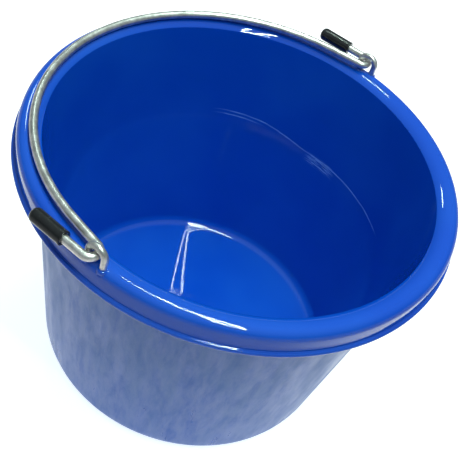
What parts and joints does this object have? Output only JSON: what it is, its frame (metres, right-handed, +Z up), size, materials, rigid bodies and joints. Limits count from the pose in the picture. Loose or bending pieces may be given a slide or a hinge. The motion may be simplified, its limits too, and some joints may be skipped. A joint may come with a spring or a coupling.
{
  "type": "feed bucket",
  "caption": "Round tapered plastic feed bucket with a rolled rim, wire eyes and a swinging wire bail with capped tails.",
  "frame": {"origin": "centre of the base, on the surface it stands on", "axes": "+Z up along the bucket's axis, +X towards the right bail eye, +Y towards the folded bail"},
  "size_m": [0.3074, 0.2996, 0.2165],
  "materials": {
    "bucket_plastic": "glossy moulded polyethylene, hazier outside",
    "bail_wire": "bright galvanised drawn wire",
    "eye_wire": "bright galvanised drawn wire",
    "cap_plastic": "smooth black vinyl"
  },
  "bodies": {
    "bucket": {"bucket_shell": "bucket_plastic", "left_eye": "eye_wire", "right_eye": "eye_wire"},
    "bail": {"bail_handle": "bail_wire", "left_end_cap": "cap_plastic", "right_end_cap": "cap_plastic"}
  },
  "joints": [
    {"name": "bail_swing", "type": "hinge", "parent": "bucket", "child": "bail", "pos_m": [0, -0.0025, 0.2077], "axis": [1, 0, 0], "range_deg": [0, 182]}
  ]
}
